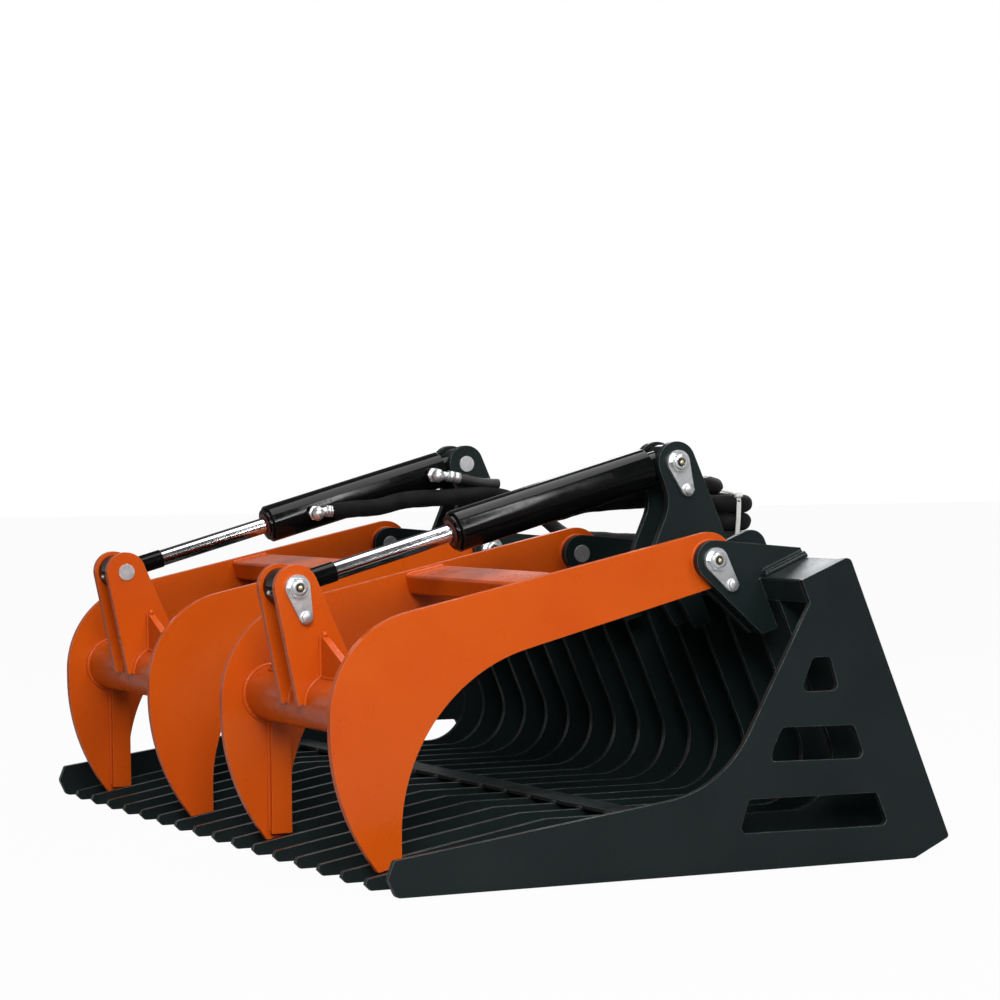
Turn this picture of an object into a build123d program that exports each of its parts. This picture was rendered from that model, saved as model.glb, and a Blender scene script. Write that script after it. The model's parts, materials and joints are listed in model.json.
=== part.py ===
from build123d import *
import os
from math import atan2, cos, hypot, radians, sin, tan

# Skeleton grapple: a tined bucket with two clamp arms, each closed by its own cylinder.
# X runs across the width, Y from the tine tips to the loader, Z up from the ground.
# Profiles are drawn as (y, z) with y = 0 at the tine tips, then shifted to the middle.

# Bucket
WIDTH = 1524.0
SIDE_THICKNESS = 9.5
TINE_THICKNESS = 9.5
TINE_COUNT = 16
HEEL_FLAT_END = 871.0
HEEL_Y = 933.0
HEEL_Z = 29.0
BACK_LEAN = 22.2
BACK_HEIGHT = 467.0
WALL_DEPTH = 90.0
TINE_FLOOR = 74.0
TINE_KINK_Y = 334.0
TINE_INNER_RADIUS = 75.0
TINE_TIP_HEIGHT = 17.0
TINE_TIP_Y = 4.0
NOSE_FOOT_Y = 13.0
NOSE_RADIUS = 5.0

# Side plates
SIDE_TIP_TOP_Y = 10.0
SIDE_TIP_TOP = 53.0
SIDE_TIP_FACE = 28.0
SIDE_BEND_Y = 537.0
SIDE_BEND_Z = 123.5
SIDE_BEND_RADIUS = 180.0
SIDE_CORNER = 10.0
WINDOW_CORNER = 9.0
UPPER_WINDOW = [(691, 312), (722, 312), (737, 261), (670, 261)]
MIDDLE_WINDOW = [(638, 210), (763, 208), (782, 157), (612, 160)]
LOWER_WINDOW = [(580, 106), (803, 104), (824, 53), (564, 56)]

# Cross members of the bucket
BEAM_PLATE = 8.0
BEAM_LIP = 37.0
BEAM_REAR_FLANGE = 65.0
BEAM_BEND = 3.0
STRIP_FRONT = 440.0
STRIP_WIDTH = 50.0
STRIP_THICKNESS = 6.0
HEEL_BAR_WIDTH = 65.0
HEEL_BAR_START = 4.0

# Loader attachment frame on the back
ATTACH_PLATE = 9.5
HOOK_REACH = 46.0
HOOK_DROP = 30.0
SHELF_DEPTH = 72.0
SHELF_THICKNESS = 12.7
SLOT_SPACING = 1032.0
SLOT_EDGE = 52.5
SLOT_LENGTH = 76.0
SLOT_WIDTH = 32.0
GUSSET_THICKNESS = 9.5
GUSSET_WAIST = 14.0

# Pivots, all parallel to X; the fixed ones are measured from the beam's top front edge
PIVOT_AHEAD = 77.6
PIVOT_ABOVE = 27.7
BASE_PIN_AHEAD = 27.8
BASE_PIN_ABOVE = 175.8
ROD_PIN_Y = 0.7
ROD_PIN_Z = 422.5
PIN_RADIUS = 14.0
RUNNING_CLEARANCE = 0.08
SEATED_CLEARANCE = 0.05
SIDE_CLEARANCE = 1.0

# Clamp arms
ARM_X = 393.0
CLAW_SPREAD = 440.4
CLAW_THICKNESS = 12.7
CLAW_END_RADIUS = 42.3
CLAW_OUTER_SLOPE = 12.2
CLAW_INNER_SLOPE = 14.6
CLAW_FRONT_Y = -25.0
CLAW_FRONT_STRAIGHT = 17.0
CLAW_FRONT_LOW = 223.0
CLAW_TIP_Z = 17.0
CLAW_TIP_Y = 47.3
CLAW_TIP_BACK_Y = 84.0
CLAW_TIP_BACK_Z = 25.0
CLAW_INNER_RADIUS = 272.0
CLAW_BOSS_RADIUS = 30.0
CLAW_BOSS_LENGTH = 22.0
TUBE_Y = 55.0
TUBE_Z = 248.0
TUBE_RADIUS = 43.0
TUBE_WALL = 6.5
RIB_WIDTH = 33.0
RIB_THICKNESS = 12.0
RIB_FOOT_Z = 27.0
MEMBER_WIDTH = 70.0
MEMBER_HEIGHT = 32.0
MEMBER_WALL = 5.0
MEMBER_FROM_PIVOT = 272.0
MEMBER_SINK = 5.0
LUG_RADIUS = 34.0
LUG_THICKNESS = 12.7
LUG_FRONT_FOOT = (2, 246)
LUG_BACK_FOOT = (98, 285)
LUG_GUSSET_THICKNESS = 11.0
LUG_GUSSET_AHEAD = 12.0
LUG_GUSSET_HEIGHT = 103.0
LUG_GUSSET_REACH = 132.0

# Pivot ears and cylinder towers on the top beam
EAR_THICKNESS = 12.7
EAR_RADIUS = 30.5
EAR_REAR_HEIGHT = 13.5
EAR_REAR_DEPTH = 6.0
EAR_FOOT_DROP = 86.4
EAR_FOOT_BEHIND = 4.8
EAR_FOOT_DEPTH = 83.0
EAR_PAD_THICKNESS = 8.0
EAR_PAD_OVERHANG = 10.0
TOWER_THICKNESS = 12.7
TOWER_RADIUS = 33.0
TOWER_REAR_DEPTH = 12.0
TOWER_WAIST_AHEAD = 39.2
TOWER_WAIST_ABOVE = 112.6
TOWER_KNEE_AHEAD = 73.2
TOWER_KNEE_ABOVE = 34.6
TOWER_KNEE_RADIUS = 20.0
TOWER_WAIST_RADIUS = 60.0

# Cylinders, measured from the base pin towards the rod pin
EYE_WIDTH = 50.0
EYE_RADIUS = 28.5
BARREL_RADIUS = 32.5
BORE_RADIUS = 25.4
BARREL_START = 38.0
NECK_RADIUS = 23.5
BASE_PLUG_END = 58.0
GLAND_FACE = 388.0
GLAND_LENGTH = 42.0
GLAND_NOSE = 6.0
GLAND_NOSE_RADIUS = 27.5
ROD_RADIUS = 14.0
ROD_START = 248.0
CHROME_END = 591.0
PISTON_START = 252.0
PISTON_LENGTH = 32.0
ROD_END_RADIUS = 15.5
SLIDE_CLEARANCE = 0.3
PORT_RADIUS = 12.0
PORT_HEIGHT = 12.0
BASE_PORT = 72.0
GLAND_PORT = 309.0

# Pin keepers
KEEPER_THICKNESS = 6.0
KEEPER_ROUND = 19.5
KEEPER_TAIL_RADIUS = 10.5
KEEPER_LENGTH = 46.0
PIN_HEAD_RADIUS = 16.0
PIN_HEAD_HEIGHT = 7.0
BOLT_HEAD_RADIUS = 7.5
BOLT_HEAD_HEIGHT = 5.0
BASE_KEEPER_ANGLE = -69.0
PIVOT_KEEPER_ANGLE = -54.0
ROD_KEEPER_ANGLE = -74.0

# Hose bracket on the beam
BRACKET_FROM_SIDE = 222.0
BRACKET_THICKNESS = 9.5
BRACKET_RADIUS = 27.0
BRACKET_HEIGHT = 25.0
BRACKET_DEPTH = 36.7

# Hoses in textile sleeves: one sleeve along each barrel, one along the hook, one in a hank
BARREL_SLEEVE_RADIUS = 16.0
SLEEVE_RADIUS = 13.0
HOSE_CLEARANCE = 0.5
HANK_LENGTH = 262.0
HANK_WIDTH = 78.0
HANK_HEIGHT = 104.0
HANK_EDGE = 12.0
HANK_X = 277.0
HANK_BEHIND = 112.0
COUPLER_LENGTH = 92.0
COUPLER_RADIUS = 13.5
COUPLER_BODY = 40.0
COUPLER_NOSE_RADIUS = 10.0
COUPLER_SPACING = 30.0
COUPLER_X = 262.0
# Distance from the base pin, inward from the cylinder's axis, below it
BARREL_SLEEVE_ROUTE = [
    (284, 54, 6),
    (240, 49, 13),
    (192, 41, 26.5),
    (140, 41, 26.5),
    (96, 52, 37),
    (54, 59, 47),
    (14, 60, 55),
]
# X, then behind and above the beam's top front edge
LEFT_SLEEVE_ROUTE = [
    (-333, 0, 122),
    (-332, 34, 118),
    (-320, 68, 104),
    (-297, 94, 80),
    (-262, 108, 56),
    (-218, 106, 45),
    (-170, 99, 43),
    (-115, 96, 43.5),
    (-58, 98, 43),
    (0, 101, 42),
    (56, 102, 42),
    (104, 100, 42.5),
    (145.5, 98, 43),
]
RIGHT_SLEEVE_ROUTE = [
    (333, 2, 122),
    (334, 33, 129),
    (336, 61, 145),
    (338, 92, 156),
    (332, 125, 152.2),
]

# The part is centred front to back on its reach, from the rod lugs to the attachment shelf.
LEAN_SIN = sin(radians(BACK_LEAN))
LEAN_COS = cos(radians(BACK_LEAN))
FRONT_REACH = ROD_PIN_Y - LUG_RADIUS


def back_point(along, out):
    """Point (y, z) set along the leaning back from the heel, and out from it."""
    y = HEEL_Y - LEAN_SIN * along + LEAN_COS * out
    z = HEEL_Z + LEAN_COS * along + LEAN_SIN * out
    return (y, z)


ATTACH_FOOT = HEEL_BAR_START + HEEL_BAR_WIDTH
ATTACH_WIDTH = SLOT_SPACING + 2 * SLOT_EDGE
SHELF_TIP = back_point(ATTACH_FOOT - SHELF_THICKNESS, SHELF_DEPTH)
MIDDLE_Y = (FRONT_REACH + SHELF_TIP[0]) / 2

BEAM_TOP_FRONT = back_point(BACK_HEIGHT, -WALL_DEPTH)
BEAM_LIP_FOOT = back_point(BACK_HEIGHT - BEAM_LIP, -WALL_DEPTH)


def from_beam(behind, above):
    """Point (y, z) behind and above the beam's top front edge."""
    return (BEAM_TOP_FRONT[0] + behind, BEAM_TOP_FRONT[1] + above)


PIVOT = from_beam(-PIVOT_AHEAD, PIVOT_ABOVE)
BASE_PIN = from_beam(-BASE_PIN_AHEAD, BASE_PIN_ABOVE)
ROD_PIN = (ROD_PIN_Y, ROD_PIN_Z)
PIN_LENGTH = hypot(BASE_PIN[0] - ROD_PIN_Y, BASE_PIN[1] - ROD_PIN_Z)
ALONG_ROD = ((ROD_PIN_Y - BASE_PIN[0]) / PIN_LENGTH, (ROD_PIN_Z - BASE_PIN[1]) / PIN_LENGTH)
EAR_FOOT = from_beam(EAR_FOOT_BEHIND, -EAR_FOOT_DROP)
EAR_FOOT_BACK = back_point(BACK_HEIGHT - EAR_FOOT_DEPTH, -WALL_DEPTH)
TOWER_WAIST = from_beam(-TOWER_WAIST_AHEAD, TOWER_WAIST_ABOVE)
TOWER_KNEE = from_beam(-TOWER_KNEE_AHEAD, TOWER_KNEE_ABOVE)
CLAW_HALF = CLAW_SPREAD / 2
TINE_INNER_WIDTH = WIDTH - SIDE_THICKNESS
EYE_GAP = EYE_WIDTH / 2 + SIDE_CLEARANCE + 0.5
EAR_INNER = CLAW_BOSS_LENGTH / 2 + SIDE_CLEARANCE
EAR_OUTER = EAR_INNER + EAR_THICKNESS


def region(points, radii=None):
    """Closed flat region through the points, with the corner radii given by index."""
    face = make_face(Polyline(*points, close=True))
    for index, radius in (radii or {}).items():
        y, z = points[index]
        corner = face.vertices().sort_by_distance((y, z, 0))[0]
        face = fillet(corner, radius)
    return face


def disc(centre, radius):
    return Pos(*centre) * Circle(radius)


def tangent_outline(centre, radius, chain):
    """Region made of a round end and the chain of points, joined by lines that touch the round."""
    first = touch_point(centre, radius, chain[0], -1)
    last = touch_point(centre, radius, chain[-1], 1)
    body = make_face(Polyline(first, *chain, last, close=True))
    return body + disc(centre, radius)


def touch_point(centre, radius, point, side):
    """Where the line from the point touches the circle, on one side of it."""
    dy, dz = point[0] - centre[0], point[1] - centre[1]
    away = hypot(dy, dz)
    turn = atan2(dz, dy) + side * atan2((away**2 - radius**2) ** 0.5, radius)
    return (centre[0] + radius * cos(turn), centre[1] + radius * sin(turn))


def plate(profile, middle_x, thickness):
    """Plate standing in the Y-Z plane, centred on middle_x."""
    return extrude(Plane.YZ.offset(middle_x - thickness / 2) * profile, amount=thickness)


def pair(profile, middle_x, gap, thickness):
    """Two like plates, each a gap away from the middle."""
    away = gap + thickness / 2
    return plate(profile, middle_x - away, thickness) + plate(profile, middle_x + away, thickness)


def both_sides(shape):
    return shape + mirror(shape, about=Plane.YZ)


def rod_along_x(centre, radius, start_x, end_x):
    return extrude(Plane.YZ.offset(start_x) * disc(centre, radius), amount=end_x - start_x)


def crossing_line(point, slope, y):
    """Height of the line through a point, at y, for a slope in degrees."""
    return point[1] + tan(radians(slope)) * (y - point[0])


def save(name, shape, side=1):
    """Write one node; the left one is the mirror image of the right one."""
    if side < 0:
        shape = mirror(shape, about=Plane.YZ)
    export_step(Pos(0, -MIDDLE_Y, 0) * shape, f"parts/{name}.step")


def beam_profile():
    """Bent channel: front lip, top and rear flange, open below."""
    inner = BACK_HEIGHT - BEAM_PLATE
    rear = -ATTACH_PLATE
    flange_foot = BACK_HEIGHT - BEAM_REAR_FLANGE
    outline = [
        BEAM_LIP_FOOT,
        BEAM_TOP_FRONT,
        back_point(BACK_HEIGHT, rear),
        back_point(flange_foot, rear),
        back_point(flange_foot, rear - BEAM_PLATE),
        back_point(inner, rear - BEAM_PLATE),
        back_point(inner, BEAM_PLATE - WALL_DEPTH),
        back_point(BACK_HEIGHT - BEAM_LIP, BEAM_PLATE - WALL_DEPTH),
    ]
    return region(outline, {1: BEAM_BEND, 2: BEAM_BEND})


def side_plate():
    outline = [
        (NOSE_FOOT_Y, 0),
        (HEEL_FLAT_END, 0),
        (HEEL_Y, HEEL_Z),
        back_point(BACK_HEIGHT, 0),
        BEAM_TOP_FRONT,
        BEAM_LIP_FOOT,
        (SIDE_BEND_Y, SIDE_BEND_Z),
        (SIDE_TIP_TOP_Y, SIDE_TIP_TOP),
        (0, SIDE_TIP_FACE),
    ]
    corners = {0: SIDE_CORNER, 1: SIDE_CORNER, 2: SIDE_CORNER / 2, 3: SIDE_CORNER}
    corners.update({6: SIDE_BEND_RADIUS, 7: SIDE_CORNER / 2, 8: SIDE_CORNER})
    profile = region(outline, corners)
    for window in (UPPER_WINDOW, MIDDLE_WINDOW, LOWER_WINDOW):
        profile -= region(window, {index: WINDOW_CORNER for index in range(len(window))})
    return plate(profile, WIDTH / 2 - SIDE_THICKNESS / 2, SIDE_THICKNESS)


def tine_profile():
    """One tooth: low floor bar with a blunt nose, and the back that leans to the beam."""
    foot_along = (TINE_FLOOR - HEEL_Z + LEAN_SIN * WALL_DEPTH) / LEAN_COS
    outline = [
        (NOSE_FOOT_Y, 0),
        (HEEL_FLAT_END, 0),
        back_point(0, -ATTACH_PLATE),
        back_point(BACK_HEIGHT, -ATTACH_PLATE),
        BEAM_TOP_FRONT,
        back_point(foot_along, -WALL_DEPTH),
        (TINE_KINK_Y, TINE_FLOOR),
        (TINE_TIP_Y + 3, TINE_TIP_HEIGHT),
        (TINE_TIP_Y, TINE_TIP_HEIGHT / 2),
    ]
    corners = {1: SIDE_CORNER, 5: TINE_INNER_RADIUS, 7: NOSE_RADIUS / 2}
    return region(outline, corners) - filled_beam_corner() - beam_profile()


def filled_beam_corner():
    """Sharp outer corners of the beam, so that no sliver of a tine is left round its bends."""
    low = BACK_HEIGHT - BEAM_PLATE / 2
    return region([
        back_point(low, 1),
        back_point(BACK_HEIGHT + 1, 1),
        back_point(BACK_HEIGHT + 1, -WALL_DEPTH - 1),
        back_point(low, -WALL_DEPTH - 1),
    ])


def make_bucket():
    side = side_plate()
    save("right_side_plate", side)
    save("left_side_plate", side, -1)
    profile = tine_profile()
    pitch = TINE_INNER_WIDTH / (TINE_COUNT + 1)
    for index in range(1, TINE_COUNT + 1):
        x = pitch * index - TINE_INNER_WIDTH / 2
        save(f"tine_{index:02d}", plate(profile, x, TINE_THICKNESS))
    inside = WIDTH - 2 * SIDE_THICKNESS
    save("top_beam", plate(beam_profile(), 0, inside))
    strip = Pos(0, STRIP_FRONT + STRIP_WIDTH / 2, TINE_FLOOR + STRIP_THICKNESS / 2)
    cross_bar = strip * Box(inside, STRIP_WIDTH, STRIP_THICKNESS)
    save("cross_bars", cross_bar + plate(heel_bar_profile(), 0, inside))


def heel_bar_profile():
    return region([
        back_point(HEEL_BAR_START, -ATTACH_PLATE),
        back_point(HEEL_BAR_START, 0),
        back_point(ATTACH_FOOT, 0),
        back_point(ATTACH_FOOT, -ATTACH_PLATE),
    ])


def hook_face(out):
    """Along position of the hook's underside, this far out from the plate."""
    return BACK_HEIGHT - HOOK_DROP * (out + ATTACH_PLATE) / HOOK_REACH - ATTACH_PLATE


def attach_plate():
    """Loader plate against the backs of the tines, with its bent hook lip at the top."""
    tip = BACK_HEIGHT - HOOK_DROP
    profile = region([
        back_point(ATTACH_FOOT, -ATTACH_PLATE),
        back_point(BACK_HEIGHT, -ATTACH_PLATE),
        back_point(tip, HOOK_REACH - ATTACH_PLATE),
        back_point(hook_face(HOOK_REACH - ATTACH_PLATE), HOOK_REACH - ATTACH_PLATE),
        back_point(hook_face(0), 0),
        back_point(ATTACH_FOOT, 0),
    ])
    return plate(profile, 0, ATTACH_WIDTH)


def attach_shelf():
    """Lower ledge of the loader frame, with a long hole for each wedge pin."""
    low = ATTACH_FOOT - SHELF_THICKNESS
    profile = region([
        back_point(low, 0),
        back_point(ATTACH_FOOT, 0),
        back_point(ATTACH_FOOT, SHELF_DEPTH),
        back_point(low, SHELF_DEPTH),
    ])
    solid = plate(profile, 0, ATTACH_WIDTH)
    y, z = back_point(ATTACH_FOOT, SHELF_DEPTH / 2)
    for x in (-SLOT_SPACING / 2, SLOT_SPACING / 2):
        slot = extrude(SlotOverall(SLOT_LENGTH, SLOT_WIDTH), 2 * SHELF_THICKNESS, both=True)
        solid -= Plane((x, y, z), x_dir=(1, 0, 0), z_dir=(0, -LEAN_SIN, LEAN_COS)) * slot
    return solid


def attach_gussets():
    """Two end plates that join the hook, the plate and the shelf."""
    tip_out = HOOK_REACH - ATTACH_PLATE
    profile = region([
        back_point(ATTACH_FOOT, 0),
        back_point(hook_face(0), 0),
        back_point(hook_face(tip_out), tip_out),
        back_point(hook_face(tip_out) - HOOK_REACH, tip_out),
        back_point(ATTACH_FOOT + SHELF_DEPTH, GUSSET_WAIST),
        back_point(ATTACH_FOOT, SHELF_DEPTH - GUSSET_WAIST),
    ])
    return pair(profile, 0, ATTACH_WIDTH / 2 - GUSSET_THICKNESS, GUSSET_THICKNESS)


def make_attachment():
    save("attach_plate", attach_plate())
    save("attach_shelf", attach_shelf())
    save("attach_gussets", attach_gussets())


def ear_profile():
    """Pivot ear: round end on the pin, seated on the beam's top and down its lip."""
    chain = [
        EAR_FOOT,
        EAR_FOOT_BACK,
        BEAM_TOP_FRONT,
        back_point(BACK_HEIGHT, -EAR_REAR_DEPTH),
        back_point(BACK_HEIGHT + EAR_REAR_HEIGHT, -EAR_REAR_DEPTH),
    ]
    return tangent_outline(PIVOT, EAR_RADIUS, chain) - ear_pad_profile()


def ear_pad_profile():
    """Strip of plate on the beam's top, under a pair of ears."""
    return region([
        back_point(BACK_HEIGHT, EAR_PAD_THICKNESS - WALL_DEPTH),
        back_point(BACK_HEIGHT, -EAR_REAR_DEPTH),
        back_point(BACK_HEIGHT + EAR_PAD_THICKNESS, -EAR_REAR_DEPTH),
        back_point(BACK_HEIGHT + EAR_PAD_THICKNESS, EAR_PAD_THICKNESS - WALL_DEPTH),
    ])


def ear_pair(ear, x):
    """Two ears at one claw pivot, with the pad that they stand on."""
    pad = plate(ear_pad_profile(), x, 2 * (EAR_OUTER + EAR_PAD_OVERHANG))
    return [*pair(ear, x, EAR_INNER, EAR_THICKNESS).solids(), pad]


def tower_profile():
    """Tall plate that carries the cylinder's base pin."""
    chain = [
        TOWER_WAIST,
        TOWER_KNEE,
        EAR_FOOT,
        EAR_FOOT_BACK,
        BEAM_TOP_FRONT,
        back_point(BACK_HEIGHT, -TOWER_REAR_DEPTH),
    ]
    face = tangent_outline(BASE_PIN, TOWER_RADIUS, chain)
    for point, radius in ((TOWER_WAIST, TOWER_WAIST_RADIUS), (TOWER_KNEE, TOWER_KNEE_RADIUS)):
        corner = face.vertices().sort_by_distance((*point, 0))[0]
        face = fillet(corner, radius)
    return face


def make_supports():
    """Ears, towers, pins and keepers that stay with the bucket."""
    ear = ear_profile() - disc(PIVOT, PIN_RADIUS + SEATED_CLEARANCE)
    tower = tower_profile() - disc(BASE_PIN, PIN_RADIUS + SEATED_CLEARANCE)
    outer_x = ARM_X + CLAW_HALF
    inner_x = ARM_X - CLAW_HALF
    ears = Compound([*ear_pair(ear, inner_x), *ear_pair(ear, outer_x)])
    towers = pair(tower, ARM_X, EYE_GAP, TOWER_THICKNESS)
    for side, name in ((1, "right"), (-1, "left")):
        save(f"{name}_pivot_ears", ears, side)
        save(f"{name}_cylinder_towers", towers, side)
    pins = headed_pin(PIVOT, inner_x, EAR_OUTER, -1) + headed_pin(PIVOT, outer_x, EAR_OUTER, 1)
    save("pivot_pins", both_sides(pins))
    save("base_pins", both_sides(headed_pin(BASE_PIN, ARM_X, EYE_GAP + TOWER_THICKNESS, 1)))
    save("fixed_pin_keepers", both_sides(fixed_keepers()))
    save("hose_bracket", hose_bracket())


def headed_pin(centre, x, half_width, outward):
    """Pin through both plates, with its head over the keeper on the outward side."""
    far = x - outward * (half_width + 2)
    near = x + outward * (half_width + KEEPER_THICKNESS)
    tip = near + outward * PIN_HEAD_HEIGHT
    shank = rod_along_x(centre, PIN_RADIUS, min(far, near), max(far, near))
    hexagon = Pos(*centre) * RegularPolygon(PIN_HEAD_RADIUS, 6)
    head = extrude(Plane.YZ.offset(min(near, tip)) * hexagon, amount=PIN_HEAD_HEIGHT)
    return shank + head


def keeper(centre, angle, face_x, outward):
    """Flag plate round a pin, held by one small bolt at its tail."""
    turn = radians(angle)
    tail = (centre[0] + KEEPER_LENGTH * cos(turn), centre[1] + KEEPER_LENGTH * sin(turn))
    flag = tangent_pair(centre, KEEPER_ROUND, tail, KEEPER_TAIL_RADIUS)
    flag -= disc(centre, PIN_RADIUS + SEATED_CLEARANCE)
    middle = face_x + outward * KEEPER_THICKNESS / 2
    top = face_x + outward * KEEPER_THICKNESS
    tip = top + outward * BOLT_HEAD_HEIGHT
    head = rod_along_x(tail, BOLT_HEAD_RADIUS, min(top, tip), max(top, tip))
    return plate(flag, middle, KEEPER_THICKNESS) + head


def tangent_pair(first, first_radius, second, second_radius):
    """Two discs joined by the strip between their outer tangents."""
    dy, dz = second[0] - first[0], second[1] - first[1]
    length = hypot(dy, dz)
    line = atan2(dz, dy)
    swing = atan2((length**2 - (first_radius - second_radius) ** 2) ** 0.5, first_radius - second_radius)
    corners = []
    for centre, radius, side in ((first, first_radius, 1), (second, second_radius, 1),
                                 (second, second_radius, -1), (first, first_radius, -1)):
        turn = line + side * swing
        corners.append((centre[0] + radius * cos(turn), centre[1] + radius * sin(turn)))
    strip = make_face(Polyline(*corners, close=True))
    return strip + disc(first, first_radius) + disc(second, second_radius)


def fixed_keepers():
    """Keepers of the right arm's two pivots and its cylinder base."""
    outer = keeper(PIVOT, PIVOT_KEEPER_ANGLE, ARM_X + CLAW_HALF + EAR_OUTER, 1)
    inner = keeper(PIVOT, PIVOT_KEEPER_ANGLE, ARM_X - CLAW_HALF - EAR_OUTER, -1)
    base = keeper(BASE_PIN, BASE_KEEPER_ANGLE, ARM_X + EYE_GAP + TOWER_THICKNESS, 1)
    return outer + inner + base


def hose_bracket():
    """Tab standing on the beam with a rounded rear end, which the hoses pass."""
    centre = back_point(BACK_HEIGHT + BRACKET_HEIGHT, -BRACKET_DEPTH)
    top = BACK_HEIGHT + BRACKET_HEIGHT + BRACKET_RADIUS
    body = region([
        back_point(BACK_HEIGHT, BEAM_PLATE - WALL_DEPTH),
        back_point(BACK_HEIGHT, BRACKET_RADIUS - BRACKET_DEPTH),
        back_point(BACK_HEIGHT + BRACKET_HEIGHT, BRACKET_RADIUS - BRACKET_DEPTH),
        centre,
        back_point(top, -BRACKET_DEPTH),
        back_point(top, BEAM_PLATE - WALL_DEPTH),
    ])
    ground = region([
        back_point(BACK_HEIGHT - BRACKET_RADIUS, 0),
        back_point(BACK_HEIGHT, 0),
        back_point(BACK_HEIGHT, -WALL_DEPTH),
        back_point(BACK_HEIGHT - BRACKET_RADIUS, -WALL_DEPTH),
    ])
    profile = body + disc(centre, BRACKET_RADIUS) - ground
    return plate(profile, WIDTH / 2 - BRACKET_FROM_SIDE, BRACKET_THICKNESS)


def claw_profile():
    """Claw: round pivot end, two gently spreading edges, a deep shoulder and a blunt tip."""
    outer = radians(CLAW_OUTER_SLOPE)
    inner = radians(CLAW_INNER_SLOPE)
    over = (PIVOT[0] - CLAW_END_RADIUS * sin(outer), PIVOT[1] + CLAW_END_RADIUS * cos(outer))
    under = (PIVOT[0] + CLAW_END_RADIUS * sin(inner), PIVOT[1] - CLAW_END_RADIUS * cos(inner))
    crown = crossing_line(over, CLAW_OUTER_SLOPE, CLAW_FRONT_Y)
    outline = [
        over,
        (CLAW_FRONT_Y, crown),
        (CLAW_FRONT_Y, CLAW_FRONT_LOW),
        (CLAW_TIP_Y, CLAW_TIP_Z),
        (CLAW_TIP_BACK_Y, CLAW_TIP_BACK_Z),
        (CLAW_TIP_BACK_Y, crossing_line(under, CLAW_INNER_SLOPE, CLAW_TIP_BACK_Y)),
        under,
    ]
    shoulder = (crown - CLAW_FRONT_LOW - CLAW_FRONT_STRAIGHT) / tan(radians(90 - CLAW_OUTER_SLOPE) / 2)
    face = region(outline, {1: shoulder, 5: CLAW_INNER_RADIUS})
    return face + claw_front() + disc(PIVOT, CLAW_END_RADIUS)


def claw_front():
    """Bulge of the claw's lower front: the arc that leaves the front edge and runs to the tip."""
    low, tip = (CLAW_FRONT_Y, CLAW_FRONT_LOW), (CLAW_TIP_Y, CLAW_TIP_Z)
    arc = TangentArc(low, tip, tangent=(0, -1))
    return make_face(arc + Line(tip, low))


def claw_plate(x, inward):
    """Claw with its pivot boss and the rib down its inner face."""
    bore = disc(PIVOT, PIN_RADIUS + RUNNING_CLEARANCE)
    solid = plate(claw_profile(), x, CLAW_THICKNESS)
    solid += rod_along_x(PIVOT, CLAW_BOSS_RADIUS, x - CLAW_BOSS_LENGTH / 2, x + CLAW_BOSS_LENGTH / 2)
    solid -= plate(bore, x, CLAW_BOSS_LENGTH)
    rib = region([
        (CLAW_TIP_BACK_Y - RIB_WIDTH, RIB_FOOT_Z),
        (CLAW_TIP_BACK_Y, RIB_FOOT_Z),
        (CLAW_TIP_BACK_Y, TUBE_Z),
        (CLAW_TIP_BACK_Y - RIB_WIDTH, TUBE_Z),
    ]) - disc((TUBE_Y, TUBE_Z), TUBE_RADIUS)
    low = rib.faces().sort_by(Axis.Y)[0]
    return solid + plate(low, x + inward * (CLAW_THICKNESS + RIB_THICKNESS) / 2, RIB_THICKNESS)


def member_profile():
    """Rectangular tube between the claws, just under their upper edges."""
    slope = radians(CLAW_OUTER_SLOPE)
    drop = CLAW_END_RADIUS - MEMBER_SINK - MEMBER_HEIGHT / 2
    y = PIVOT[0] - MEMBER_FROM_PIVOT * cos(slope) - drop * sin(slope)
    z = PIVOT[1] - MEMBER_FROM_PIVOT * sin(slope) + drop * cos(slope)
    outer = RectangleRounded(MEMBER_WIDTH, MEMBER_HEIGHT, MEMBER_WALL)
    inner = Rectangle(MEMBER_WIDTH - 2 * MEMBER_WALL, MEMBER_HEIGHT - 2 * MEMBER_WALL)
    return Pos(y, z) * Rot(0, 0, CLAW_OUTER_SLOPE) * (outer - inner)


def lug_profile():
    """Lug plate: round end on the rod pin, foot that saddles the cross tube."""
    chain = [LUG_FRONT_FOOT, LUG_BACK_FOOT]
    face = tangent_outline(ROD_PIN, LUG_RADIUS, chain) - disc((TUBE_Y, TUBE_Z), TUBE_RADIUS)
    return face - disc(ROD_PIN, PIN_RADIUS + SEATED_CLEARANCE)


def lug_gussets():
    """Sloping plates across the tube, one outside each lug."""
    lug_face = EYE_GAP + LUG_THICKNESS
    triangle = region([
        (lug_face, TUBE_Z),
        (lug_face, TUBE_Z + LUG_GUSSET_HEIGHT),
        (lug_face + LUG_GUSSET_REACH, TUBE_Z + TUBE_RADIUS),
        (lug_face + LUG_GUSSET_REACH, TUBE_Z),
    ])
    middle = TUBE_Y - LUG_GUSSET_AHEAD
    solid = extrude(Plane.XZ.offset(-middle) * triangle, LUG_GUSSET_THICKNESS / 2, both=True)
    solid -= rod_along_x((TUBE_Y, TUBE_Z), TUBE_RADIUS, 0, CLAW_SPREAD)
    return Pos(ARM_X, 0, 0) * both_sides(solid)


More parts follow.
